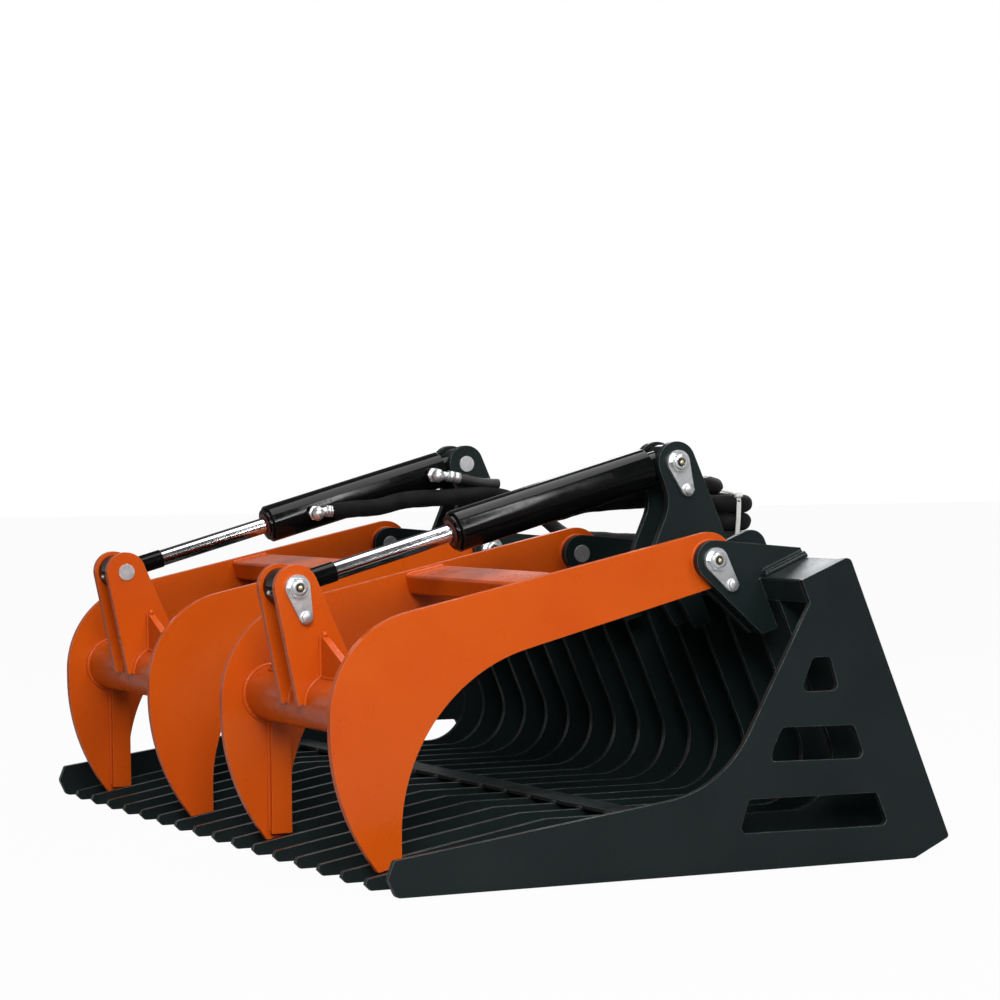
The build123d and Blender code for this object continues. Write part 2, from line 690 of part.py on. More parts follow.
def make_arm(name, side):
    inner_x = ARM_X - CLAW_HALF
    outer_x = ARM_X + CLAW_HALF
    save(f"{name}_outer_claw", claw_plate(outer_x, -1), side)
    save(f"{name}_inner_claw", claw_plate(inner_x, 1), side)
    between = CLAW_SPREAD - CLAW_THICKNESS
    ring = disc((TUBE_Y, TUBE_Z), TUBE_RADIUS) - disc((TUBE_Y, TUBE_Z), TUBE_RADIUS - TUBE_WALL)
    save(f"{name}_cross_tube", plate(ring, ARM_X, between), side)
    save(f"{name}_cross_member", plate(member_profile(), ARM_X, between), side)
    lugs = pair(lug_profile(), ARM_X, EYE_GAP, LUG_THICKNESS)
    save(f"{name}_rod_lugs", lugs + lug_gussets(), side)
    flag = keeper(ROD_PIN, ROD_KEEPER_ANGLE, ARM_X + EYE_GAP + LUG_THICKNESS, 1)
    save(f"{name}_rod_pin_ends", Compound([*rod_pin_ends().solids(), *flag.solids()]), side)


def rod_pin_ends():
    """The rod pin's two ends, held in the lugs, with the head outside the keeper."""
    outside = EYE_GAP + LUG_THICKNESS
    plain = rod_along_x(ROD_PIN, PIN_RADIUS, ARM_X - outside - 2, ARM_X - EYE_GAP)
    headed = rod_along_x(ROD_PIN, PIN_RADIUS, ARM_X + EYE_GAP, ARM_X + outside + KEEPER_THICKNESS)
    hexagon = Pos(*ROD_PIN) * RegularPolygon(PIN_HEAD_RADIUS, 6)
    start = ARM_X + outside + KEEPER_THICKNESS
    headed += extrude(Plane.YZ.offset(start) * hexagon, amount=PIN_HEAD_HEIGHT)
    return plain + headed


def cylinder_plane(distance):
    """Plane across the cylinder at a distance from the base pin, facing the rod pin."""
    y = BASE_PIN[0] + distance * ALONG_ROD[0]
    z = BASE_PIN[1] + distance * ALONG_ROD[1]
    return Plane((ARM_X, y, z), x_dir=(1, 0, 0), z_dir=(0, *ALONG_ROD))


def round_bar(radius, start, end):
    return extrude(cylinder_plane(start) * Circle(radius), amount=end - start)


def eye(centre):
    return rod_along_x(centre, EYE_RADIUS, ARM_X - EYE_WIDTH / 2, ARM_X + EYE_WIDTH / 2)


def eye_bore(centre, clearance):
    radius = PIN_RADIUS + clearance
    return rod_along_x(centre, radius, ARM_X - EYE_WIDTH, ARM_X + EYE_WIDTH)


def port(distance):
    """Round boss on the side of the barrel that faces the middle of the bucket."""
    plane = cylinder_plane(distance)
    reach = BARREL_RADIUS + PORT_HEIGHT
    centre = (plane.origin.Y, plane.origin.Z)
    return rod_along_x(centre, PORT_RADIUS, ARM_X - reach, ARM_X - BORE_RADIUS - 1)


def make_cylinder(name, side):
    tube = round_bar(BARREL_RADIUS, BARREL_START, GLAND_FACE - GLAND_NOSE)
    tube += round_bar(NECK_RADIUS, 0, BARREL_START) + eye(BASE_PIN)
    tube += port(BASE_PORT) + port(GLAND_PORT)
    tube -= round_bar(BORE_RADIUS, BASE_PLUG_END, GLAND_FACE)
    tube -= eye_bore(BASE_PIN, RUNNING_CLEARANCE)
    save(f"{name}_barrel", tube, side)
    gland = round_bar(BORE_RADIUS, GLAND_FACE - GLAND_LENGTH, GLAND_FACE - GLAND_NOSE)
    gland += round_bar(GLAND_NOSE_RADIUS, GLAND_FACE - GLAND_NOSE, GLAND_FACE)
    gland -= round_bar(ROD_RADIUS + SLIDE_CLEARANCE, GLAND_FACE - 2 * GLAND_LENGTH, GLAND_FACE + 1)
    save(f"{name}_gland", gland, side)
    save(f"{name}_piston_rod", round_bar(ROD_RADIUS, ROD_START, CHROME_END), side)
    piston = round_bar(BORE_RADIUS - SLIDE_CLEARANCE, PISTON_START, PISTON_START + PISTON_LENGTH)
    save(f"{name}_piston", piston - round_bar(ROD_RADIUS, ROD_START, CHROME_END), side)
    rod_end = round_bar(ROD_END_RADIUS, CHROME_END, PIN_LENGTH) + eye(ROD_PIN)
    save(f"{name}_rod_eye", rod_end - eye_bore(ROD_PIN, SEATED_CLEARANCE), side)
    half = EYE_GAP - SLIDE_CLEARANCE
    save(f"{name}_rod_pin", rod_along_x(ROD_PIN, PIN_RADIUS, ARM_X - half, ARM_X + half), side)


def beside_cylinder(distance, inward, below):
    """Point given by its distance from the base pin, inward from the axis and below it."""
    y = BASE_PIN[0] + distance * ALONG_ROD[0] - below * ALONG_ROD[1]
    z = BASE_PIN[1] + distance * ALONG_ROD[1] + below * ALONG_ROD[0]
    return (ARM_X - inward, y, z)


def hose(points, radius):
    """Round hose through the points, with arcs as wide as the runs beside them allow."""
    runs = [Vector(*after) - Vector(*before) for before, after in zip(points, points[1:])]
    radii = []
    for first, second in zip(runs, runs[1:]):
        half_turn = radians(first.get_angle(second)) / 2
        radii.append(0.45 * min(first.length, second.length) / tan(half_turn))
    print("hose radii", [round(value) for value in radii], "against a diameter of", 2 * radius)
    path = FilletPolyline(*points, radius=radii)
    return sweep(Plane(origin=path @ 0, z_dir=path % 0) * Circle(radius), path=path)


def beam_hoses():
    """Sleeves from both cylinders: the left one along the hook, the right one up on the hank."""
    tubes = []
    for route in (LEFT_SLEEVE_ROUTE, RIGHT_SLEEVE_ROUTE):
        tubes.append(hose([(x, *from_beam(behind, above)) for x, behind, above in route], SLEEVE_RADIUS))
    return Compound(tubes)


def hank_foot():
    """Height of the hank's underside, just clear of the beam."""
    return back_point(BACK_HEIGHT, 0)[1] + HOSE_CLEARANCE


def hose_hank():
    """Folded loader hoses as one closed form, lying on the hook behind the right tower."""
    y = BEAM_TOP_FRONT[0] + HANK_BEHIND
    oval = SlotOverall(HANK_LENGTH, HANK_WIDTH)
    solid = Pos(HANK_X, y, hank_foot()) * extrude(oval, HANK_HEIGHT)
    rims = solid.edges().group_by(Axis.Z)
    return fillet([*rims[0], *rims[-1]], HANK_EDGE)


def coupler(y):
    """Quick coupler: sleeved body and a slimmer nose, lying on the hank."""
    z = hank_foot() + HANK_HEIGHT + COUPLER_RADIUS + HOSE_CLEARANCE
    body = rod_along_x((y, z), COUPLER_RADIUS, COUPLER_X - COUPLER_BODY, COUPLER_X)
    return body + rod_along_x((y, z), COUPLER_NOSE_RADIUS, COUPLER_X - COUPLER_LENGTH, COUPLER_X)


def make_hoses():
    route = [beside_cylinder(*place) for place in BARREL_SLEEVE_ROUTE]
    sleeve = hose(route, BARREL_SLEEVE_RADIUS)
    save("right_barrel_hoses", sleeve)
    save("left_barrel_hoses", sleeve, -1)
    save("beam_hoses", beam_hoses())
    save("hose_hank", hose_hank())
    middle = BEAM_TOP_FRONT[0] + HANK_BEHIND
    couplers = coupler(middle - COUPLER_SPACING / 2) + coupler(middle + COUPLER_SPACING / 2)
    save("hose_couplers", couplers)


os.makedirs("parts", exist_ok=True)
make_bucket()
make_attachment()
make_supports()
for arm_side, arm_name in ((1, "right"), (-1, "left")):
    make_arm(arm_name, arm_side)
    make_cylinder(arm_name, arm_side)
make_hoses()
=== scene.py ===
import json
from math import cos, pi, radians, sin

import bmesh
import bpy
from mathutils import Matrix, Vector
from mathutils.noise import noise


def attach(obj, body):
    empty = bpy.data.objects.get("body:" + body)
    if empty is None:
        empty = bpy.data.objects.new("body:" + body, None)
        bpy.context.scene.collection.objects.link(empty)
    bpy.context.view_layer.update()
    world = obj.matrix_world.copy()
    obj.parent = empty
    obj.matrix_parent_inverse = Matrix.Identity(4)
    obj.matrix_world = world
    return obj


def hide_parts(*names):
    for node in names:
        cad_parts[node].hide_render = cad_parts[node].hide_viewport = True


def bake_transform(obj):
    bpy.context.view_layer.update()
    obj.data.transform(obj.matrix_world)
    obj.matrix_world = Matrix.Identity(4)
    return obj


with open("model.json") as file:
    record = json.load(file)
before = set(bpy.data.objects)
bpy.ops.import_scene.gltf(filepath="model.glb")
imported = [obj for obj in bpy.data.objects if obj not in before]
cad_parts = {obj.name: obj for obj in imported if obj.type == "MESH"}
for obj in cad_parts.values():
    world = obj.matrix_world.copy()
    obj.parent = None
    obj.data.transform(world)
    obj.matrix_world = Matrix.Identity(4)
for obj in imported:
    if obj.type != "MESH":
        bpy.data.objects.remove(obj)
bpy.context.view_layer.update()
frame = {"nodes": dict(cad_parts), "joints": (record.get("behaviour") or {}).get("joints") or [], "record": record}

# Where things are, in metres. Drawn places count y from the tine tips, as the part's drawing does.
JOINTS = {joint["name"]: joint for joint in frame["joints"]}
PIVOT_FROM_TIPS = 0.59562
TIP_PLANE = JOINTS["right_arm_hinge"]["pos_m"][1] - PIVOT_FROM_TIPS
SIDES = {"right": 1, "left": -1}
ARM_X, PIVOT_Y, PIVOT_Z = JOINTS["right_arm_hinge"]["pos_m"]
BASE_PIN = Vector(JOINTS["right_barrel_hinge"]["pos_m"])
ALONG_ROD = -Vector(JOINTS["right_rod_slide"]["axis"])
PIN_LENGTH = 0.66955
ROD_PIN = BASE_PIN + PIN_LENGTH * ALONG_ROD
BACK_LEAN = radians(22.2)

# Plates, tubes and pins that the welds and caps sit on
CLAW_HALF = 0.2202
CLAW_THICKNESS = 0.0127
PLATE_THICKNESS = 0.0127
LUG_INNER = 0.0265
EAR_INNER = 0.012
KEEPER_TOP = 0.006
PIN_HEAD_HEIGHT = 0.007
TUBE_PLACE = (0.055, 0.248)
TUBE_RADIUS = 0.043
GLAND_FACE = 0.388
ROD_RADIUS = 0.014
EYE_RADIUS = 0.0285
TINE_SPAN = 1.5145
TINE_GAPS = 17

# Camera, as fitted to the photograph
CAMERA_PLACE = (4.5772, -1.6480, 0.6059)
CAMERA_YAW = 63.470
CAMERA_PITCH = 2.798
CAMERA_ROLL = -0.477
CAMERA_FOCAL = 3004.1
PRINCIPAL_POINT = (551.10, 608.44)
FRAME_PIXELS = 1000
SENSOR = 36.0


def at(x, y, z):
    """A drawn place as a point of the row frame."""
    return Vector((x, y + TIP_PLANE, z))


def by_cylinder(side, distance, inward=0.0, below=0.0):
    """Point at a distance from the base pin along the cylinder, inward from its axis and below it."""
    y = BASE_PIN.y + distance * ALONG_ROD.y - below * ALONG_ROD.z
    z = BASE_PIN.z + distance * ALONG_ROD.z + below * ALONG_ROD.y
    return Vector((side * (ARM_X - inward), y, z))


def over_beam(x, behind, above):
    """Point behind and above the top beam's front edge."""
    edge = on_back(x, 0.467, -0.090)
    return edge + Vector((0, behind, above))


def on_back(x, along, out):
    """Point along the leaning back from the heel, and out from it towards the loader."""
    y = 0.933 - sin(BACK_LEAN) * along + cos(BACK_LEAN) * out
    return at(x, y, 0.029 + cos(BACK_LEAN) * along + sin(BACK_LEAN) * out)


# Material helpers

WEAVE_MAP = "weave"
EDGE_ROUNDING = 0.0012
COAT_ROUGHNESS = 0.12
DUST_COLOUR = (0.32, 0.31, 0.29, 1)


class Shader:
    """A material with a Principled shader, and short calls that add its nodes."""

    def __init__(self, name):
        self.material = bpy.data.materials.new(name)
        self.material.use_nodes = True
        self.tree = self.material.node_tree
        self.base = self.tree.nodes["Principled BSDF"]
        self.coordinates = self.tree.nodes.new("ShaderNodeTexCoord").outputs["Object"]

    def link(self, source, target):
        self.tree.links.new(source, target)
        return target

    def add(self, kind, **values):
        made = self.tree.nodes.new("ShaderNode" + kind)
        for key, value in values.items():
            setattr(made, key, value)
        return made

    def feed(self, target, value):
        if isinstance(value, bpy.types.NodeSocket):
            self.link(value, target)
        else:
            target.default_value = value

    def set(self, **values):
        for key, value in values.items():
            self.feed(self.base.inputs[key.replace("_", " ")], value)

    def noise(self, scale, detail=3.0, roughness=0.5, vector=None):
        made = self.add("TexNoise")
        self.link(vector or self.coordinates, made.inputs["Vector"])
        made.inputs["Scale"].default_value = scale
        made.inputs["Detail"].default_value = detail
        made.inputs["Roughness"].default_value = roughness
        return made.outputs["Fac"]

    def span(self, value, low, high, to_low=0.0, to_high=1.0):
        made = self.add("MapRange")
        for key, item in zip(("Value", "From Min", "From Max", "To Min", "To Max"),
                             (value, low, high, to_low, to_high)):
            self.feed(made.inputs[key], item)
        return made.outputs["Result"]

    def math(self, operation, first, second=0.5):
        made = self.add("Math", operation=operation)
        self.feed(made.inputs[0], first)
        self.feed(made.inputs[1], second)
        return made.outputs["Value"]

    def mix(self, factor, first, second):
        made = self.add("Mix", data_type="RGBA")
        self.feed(made.inputs["Factor"], factor)
        self.feed(made.inputs[6], first)
        self.feed(made.inputs[7], second)
        return made.outputs[2]

    def bump(self, height, strength, distance, normal=None):
        made = self.add("Bump")
        made.inputs["Strength"].default_value = strength
        made.inputs["Distance"].default_value = distance
        self.link(height, made.inputs["Height"])
        if normal is not None:
            self.link(normal, made.inputs["Normal"])
        return made.outputs["Normal"]

    def rounded(self, radius):
        made = self.add("Bevel", samples=4)
        made.inputs["Radius"].default_value = radius
        return made.outputs["Normal"]

    def edges(self, radius):
        """1 along the sharp edges of a piece, 0 on its flats."""
        face = self.add("NewGeometry").outputs["Normal"]
        dot = self.add("VectorMath", operation="DOT_PRODUCT")
        self.link(self.rounded(radius), dot.inputs[0])
        self.link(face, dot.inputs[1])
        return self.span(dot.outputs["Value"], 0.965, 0.80)

    def facing_up(self):
        face = self.add("NewGeometry").outputs["Normal"]
        split = self.add("SeparateXYZ")
        self.link(face, split.inputs[0])
        return self.span(split.outputs["Z"], 0.4, 1.0)


def enamel(name, colour, shade, edge, roughness, coat, grain, specular, dust):
    """Sprayed paint: faint cloudiness, orange peel, lighter edges that are partly worn paint and partly a painted
    highlight, settled dust.
    """
    paint = Shader(name)
    clouds = paint.noise(5.0, 4.0)
    tone = paint.mix(paint.span(clouds, 0.3, 0.7), (*shade, 1), (*colour, 1))
    scuffs = paint.span(paint.noise(60.0, 5.0, 0.7), 0.55, 0.8)
    # Lighter edge colour on the sharp edges, broken up by noise: partly worn paint, partly a painted highlight
    # along the cut edges.
    worn = paint.span(paint.noise(40.0), 0.3, 0.75, 0.25, 0.9)
    rim = paint.math("MULTIPLY", paint.edges(EDGE_ROUNDING), worn)
    tone = paint.mix(rim, tone, (*edge, 1))
    settled = paint.span(paint.noise(25.0, 5.0, 0.65), 0.42, 0.7, 0.0, dust)
    powder = paint.math("MULTIPLY", paint.facing_up(), settled)
    speck = paint.math("MULTIPLY", paint.span(paint.noise(900.0, 2.0), 0.58, 0.75), dust * 0.6)
    tone = paint.mix(paint.math("MAXIMUM", powder, speck), tone, DUST_COLOUR)
    sheen = paint.span(paint.noise(18.0, 4.0), 0.3, 0.7, roughness - 0.05, roughness + 0.05)
    rough = paint.math("ADD", sheen, paint.math("MULTIPLY", scuffs, 0.12))
    peel = paint.bump(paint.noise(260.0, 2.0), grain, 0.0004, paint.rounded(EDGE_ROUNDING))
    fine = paint.bump(paint.noise(1500.0, 2.0), grain * 0.5, 0.0002, peel)
    paint.set(Base_Color=tone, Roughness=rough, Normal=fine)
    paint.set(Coat_Weight=coat, Coat_Roughness=COAT_ROUGHNESS, Specular_IOR_Level=specular)
    return paint.material


def bright_metal(name, colour, dull, roughness, blotch, grain, metallic=1.0):
    """Bare or plated metal with uneven brightness and fine marks."""
    metal = Shader(name)
    patches = metal.span(metal.noise(blotch, 5.0, 0.7), 0.35, 0.7)
    tone = metal.mix(patches, (*colour, 1), (*dull, 1))
    rough = metal.math("ADD", metal.span(metal.noise(blotch * 2.5, 4.0), 0.3, 0.7, 0.0, 0.16), roughness)
    marks = metal.bump(metal.noise(1200.0, 3.0), grain, 0.0002, metal.rounded(0.0006))
    metal.set(Base_Color=tone, Roughness=rough, Normal=marks, Metallic=metallic)
    return metal.material


def chrome_plate():
    """Ground and plated rod under a thin oil film."""
    metal = Shader("chrome")
    film = metal.span(metal.noise(9.0, 4.0), 0.35, 0.75)
    tone = metal.mix(film, (0.36, 0.36, 0.375, 1), (0.29, 0.29, 0.30, 1))
    rough = metal.span(metal.noise(35.0, 4.0), 0.3, 0.7, 0.09, 0.13)
    metal.set(Base_Color=tone, Roughness=rough, Metallic=1.0)
    return metal.material


def woven_sleeve():
    """Black textile sleeve: threads that cross at 45 degrees, dull, with soft worn patches."""
    cloth = Shader("woven_sleeve")
    lay = cloth.add("UVMap", uv_map=WEAVE_MAP).outputs["UV"]
    threads = []
    for turn in (45.0, -45.0):
        made = cloth.add("Mapping")
        made.inputs["Rotation"].default_value = (0, 0, radians(turn))
        cloth.link(lay, made.inputs["Vector"])
        wave = cloth.add("TexWave", wave_type="BANDS")
        wave.inputs["Scale"].default_value = 120.0
        wave.inputs["Distortion"].default_value = 0.6
        cloth.link(made.outputs["Vector"], wave.inputs["Vector"])
        threads.append(wave.outputs["Fac"])
    weave = cloth.math("MAXIMUM", threads[0], threads[1])
    worn = cloth.span(cloth.noise(22.0, 4.0), 0.35, 0.75)
    tone = cloth.mix(worn, (0.0030, 0.0031, 0.0033, 1), (0.0085, 0.0085, 0.0090, 1))
    cloth.set(Base_Color=tone, Roughness=cloth.span(weave, 0.0, 1.0, 0.62, 0.85))
    cloth.set(Normal=cloth.bump(weave, 0.35, 0.0006), Specular_IOR_Level=0.12)
    cloth.set(Sheen_Weight=0.04, Sheen_Roughness=0.4)
    return cloth.material


def moulded(name, colour, shade, roughness):
    """Moulded nylon or rubber with a faint grain."""
    plastic = Shader(name)
    tone = plastic.mix(plastic.span(plastic.noise(60.0, 4.0), 0.35, 0.7), (*colour, 1), (*shade, 1))
    rough = plastic.span(plastic.noise(200.0), 0.3, 0.7, roughness, roughness + 0.12)
    plastic.set(Base_Color=tone, Roughness=rough)
    plastic.set(Normal=plastic.bump(plastic.noise(900.0, 2.0), 0.15, 0.0002))
    return plastic.material


# The third colour of each enamel lightens its edges: a painted highlight along the cut edges, partly worn paint.
ORANGE = enamel("orange_enamel", (0.56, 0.083, 0.0034), (0.50, 0.064, 0.0027), (0.88, 0.33, 0.14),
                roughness=0.30, coat=0.11, grain=0.10, specular=0.20, dust=0.015)
BLACK = enamel("black_enamel", (0.0090, 0.0150, 0.0158), (0.0056, 0.0100, 0.0108), (0.34, 0.355, 0.355),
               roughness=0.34, coat=0.0, grain=0.22, specular=0.18, dust=0.07)
GLOSS = enamel("gloss_black", (0.0030, 0.0033, 0.0034), (0.0022, 0.0024, 0.0025), (0.05, 0.052, 0.052),
               roughness=0.10, coat=0.0, grain=0.02, specular=0.11, dust=0.0)
ZINC = bright_metal("zinc", (0.72, 0.73, 0.75), (0.50, 0.52, 0.54), 0.28, 60.0, 0.18, metallic=0.85)
IRON = bright_metal("machined_iron", (0.42, 0.42, 0.43), (0.30, 0.30, 0.31), 0.35, 30.0, 0.3)
BRASS = bright_metal("brass", (0.78, 0.68, 0.42), (0.52, 0.44, 0.26), 0.22, 120.0, 0.2, metallic=0.8)
CHROME = chrome_plate()
SLEEVE = woven_sleeve()
TIE = moulded("grey_nylon", (0.56, 0.57, 0.56), (0.44, 0.45, 0.44), 0.35)
RUBBER = moulded("black_rubber", (0.008, 0.008, 0.009), (0.014, 0.014, 0.015), 0.45)
WIPER = moulded("wiper_rubber", (0.085, 0.012, 0.010), (0.050, 0.008, 0.007), 0.40)

FINISH = {"black_enamel": BLACK, "orange_enamel": ORANGE, "gloss_black": GLOSS, "woven_sleeve": SLEEVE,
          "chrome": CHROME, "machined_iron": IRON, "zinc": ZINC}
for entry in frame["record"]["subparts"]:
    piece = frame["nodes"][entry["node"]]
    piece.data.materials.clear()
    piece.data.materials.append(FINISH[entry["material_slot"]])


# Mesh helpers

SHARP_ANGLE = radians(50)


def new_piece(name, mesh_maker, material, body):
    """Object from a bmesh that mesh_maker fills, riding on a body."""
    mesh = bpy.data.meshes.new(name)
    work = bmesh.new()
    mesh_maker(work)
    bmesh.ops.recalc_face_normals(work, faces=work.faces)
    work.to_mesh(mesh)
    work.free()
    for face in mesh.polygons:
        face.use_smooth = True
    mesh.set_sharp_from_angle(angle=SHARP_ANGLE)
    piece = bpy.data.objects.new(name, mesh)
    bpy.context.scene.collection.objects.link(piece)
    mesh.materials.append(material)
    if body:
        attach(piece, body)
    return piece


def frame_along(direction):
    """Rotation whose Z axis is the direction."""
    return direction.normalized().to_track_quat("Z", "Y").to_matrix()


def add_tube(work, points, radius_at, sides=12, closed=False):
    """Tube of a changing radius through the points; radius_at takes the share of the way."""
    rings = []
    count = len(points)
    for index, point in enumerate(points):
        before = points[index - 1] if index or closed else point
        after = points[(index + 1) % count] if index < count - 1 or closed else point
        basis = frame_along(after - before)
        radius = radius_at(index / max(1, count - 1))
        ring = []
        for side in range(sides):
            turn = 2 * pi * side / sides
            ring.append(work.verts.new(point + basis @ Vector((radius * cos(turn), radius * sin(turn), 0))))
        rings.append(ring)
    pairs = list(zip(rings, rings[1:] + rings[:1] if closed else rings[1:]))
    for first, second in pairs:
        shift = nearest_start(first, second)
        for side in range(sides):
            work.faces.new((first[side], first[(side + 1) % sides],
                            second[(side + 1 + shift) % sides], second[(side + shift) % sides]))
    if not closed:
        work.faces.new(rings[0])
        work.faces.new(list(reversed(rings[-1])))


def nearest_start(first, second):
    """How far the second ring is turned against the first."""
    sides = len(first)
    gaps = [(first[0].co - second[side].co).length for side in range(sides)]
    return gaps.index(min(gaps))


def add_lathe(work, origin, direction, profile, sides=32, hollow=False):
    """Turned solid: profile is a list of (distance along, radius); a hollow one is a ring."""
    basis = frame_along(direction)
    rings = []
    for along, radius in profile:
        ring = []
        for side in range(sides):
            turn = 2 * pi * side / sides
            spot = Vector((radius * cos(turn), radius * sin(turn), along))
            ring.append(work.verts.new(origin + basis @ spot))
        rings.append(ring)
    for first, second in zip(rings, rings[1:] + rings[:1] if hollow else rings[1:]):
        for side in range(sides):
            work.faces.new((first[side], first[(side + 1) % sides],
                            second[(side + 1) % sides], second[side]))
    if not hollow:
        work.faces.new(rings[0])
        work.faces.new(list(reversed(rings[-1])))


def ripple(seed, radius, depth=0.16):
    """Radius of a weld bead along its length, with the beat of its ripples."""
    def radius_at(share):
        wave = abs(sin(share * seed * pi))
        return radius * (1 - depth * (1 - wave) + 0.10 * noise(Vector((share * seed * 0.4, seed, 0))))
    return radius_at


def steps_between(start, end, pitch):
    count = max(3, int((end - start).length / pitch) + 1)
    return [start.lerp(end, index / (count - 1)) for index in range(count)]


BEAD_PITCH = 0.0018
BEAD_RIPPLE = 0.0060


def weld_line(work, start, end, radius=0.0035):
    """Straight bead along a joint."""
    length = (end - start).length
    add_tube(work, steps_between(start, end, BEAD_PITCH), ripple(length / BEAD_RIPPLE, radius), 8)


def weld_ring(work, centre, radius, bead=0.004, share=1.0, start=0.0):
    """Bead round a tube that runs along X; share is how much of the circle it covers."""
    length = 2 * pi * radius * share
    count = int(length / BEAD_PITCH)
    points = []
    for index in range(count):
        turn = start + 2 * pi * share * index / (count if share == 1.0 else count - 1)
        points.append(centre + Vector((0, radius * cos(turn), radius * sin(turn))))
    add_tube(work, points, ripple(round(length / BEAD_RIPPLE), bead), 8, closed=share == 1.0)


# Camera


def make_camera():
    yaw, pitch, roll = radians(CAMERA_YAW), radians(CAMERA_PITCH), radians(CAMERA_ROLL)
    forward = Vector((-sin(yaw) * cos(pitch), cos(yaw) * cos(pitch), -sin(pitch)))
    right = Vector((cos(yaw), sin(yaw), 0))
    up = right.cross(forward)
    rolled_right = right * cos(roll) + up * sin(roll)
    rolled_up = up * cos(roll) - right * sin(roll)
    data = bpy.data.cameras.new("camera")
    data.sensor_width = SENSOR
    data.lens = CAMERA_FOCAL * SENSOR / FRAME_PIXELS
    data.shift_x = (FRAME_PIXELS / 2 - PRINCIPAL_POINT[0]) / FRAME_PIXELS
    data.shift_y = (PRINCIPAL_POINT[1] - FRAME_PIXELS / 2) / FRAME_PIXELS
    data.clip_end = 100
    camera = bpy.data.objects.new("camera", data)
    columns = Matrix((rolled_right, rolled_up, -forward)).transposed()
    camera.matrix_world = Matrix.Translation(at(*CAMERA_PLACE)) @ columns.to_4x4()
    bpy.context.scene.collection.objects.link(camera)
    bpy.context.scene.camera = camera


make_camera()


# Hoses: routes as in the part, in metres

BARREL_SLEEVE_ROUTE = [
    (0.284, 0.054, 0.006),
    (0.240, 0.049, 0.013),
    (0.192, 0.041, 0.0265),
    (0.140, 0.041, 0.0265),
    (0.096, 0.052, 0.037),
    (0.054, 0.059, 0.047),
    (0.014, 0.060, 0.055),
]
LEFT_SLEEVE_ROUTE = [
    (-0.333, 0.000, 0.122),
    (-0.332, 0.034, 0.118),
    (-0.320, 0.068, 0.104),
    (-0.297, 0.094, 0.080),
    (-0.262, 0.108, 0.056),
    (-0.218, 0.106, 0.045),
    (-0.170, 0.099, 0.043),
    (-0.115, 0.096, 0.0435),
    (-0.058, 0.098, 0.043),
    (0.000, 0.101, 0.042),
    (0.056, 0.102, 0.042),
    (0.104, 0.100, 0.0425),
    (0.1455, 0.098, 0.043),
]
RIGHT_SLEEVE_ROUTE = [
    (0.333, 0.002, 0.122),
    (0.333, 0.030, 0.127),
    (0.330, 0.058, 0.136),
    (0.322, 0.086, 0.1385),
    (0.308, 0.111, 0.1348),
    (0.286, 0.126, 0.1372),
    (0.260, 0.127, 0.1395),
]
GLAND_HOSE_ROUTE = [(0.293, 0.0545, 0.001), (0.280, 0.054, 0.006), (0.262, 0.051, 0.010)]
BASE_HOSE_ROUTE = [
    (0.030, 0.0545, 0.018),
    (0.006, 0.056, 0.031),
    (-0.020, 0.058, 0.043),
    (-0.042, 0.058, 0.050),
]
BARREL_SLEEVE_RADIUS = 0.0155
SLEEVE_RADIUS = 0.0128
HOSE_RADIUS = 0.0092
HANK_HOSE_RADIUS = 0.0148
HANK_START = (0.1455, 0.77122, 0.47038)
HANK_ENDS = (0.187, 0.352)
HANK_MIDDLE = 0.781
HANK_BEND = 0.0256
HANK_FIRST_ROW = 0.4772
HANK_PITCH = 0.0292
HANK_ROWS = 3
RUN_POINTS = (0.0, 0.12, 0.88, 1.0)
LAST_TURN_SHIFT = 0.012
FOLD_REACH = 1.08
FOLD_ANGLES = (-54, -18, 18, 54)
COUPLER_HEIGHT = 0.5670
COUPLER_MIDDLE = 0.7852
COUPLER_SPACING = 0.030
CLOSEST_POINTS = 0.002


def smooth_line(controls):
    """Points of the smooth curve that the controls steer."""
    curve = bpy.data.curves.new("route", "CURVE")
    curve.dimensions = "3D"
    spline = curve.splines.new("NURBS")
    spline.points.add(len(controls) - 1)
    for place, control in zip(spline.points, controls):
        place.co = (*control, 1)
    spline.order_u = 3
    spline.use_endpoint_u = True
    spline.resolution_u = 14
    carrier = bpy.data.objects.new("route", curve)
    line = bpy.data.meshes.new_from_object(carrier)
    points = [vertex.co.copy() for vertex in line.vertices]
    bpy.data.objects.remove(carrier)
    bpy.data.meshes.remove(line)
    bpy.data.curves.remove(curve)
    kept = points[:1]
    for point in points[1:-1]:
        if (point - kept[-1]).length > CLOSEST_POINTS and (points[-1] - point).length > CLOSEST_POINTS:
            kept.append(point)
    return kept + points[-1:]


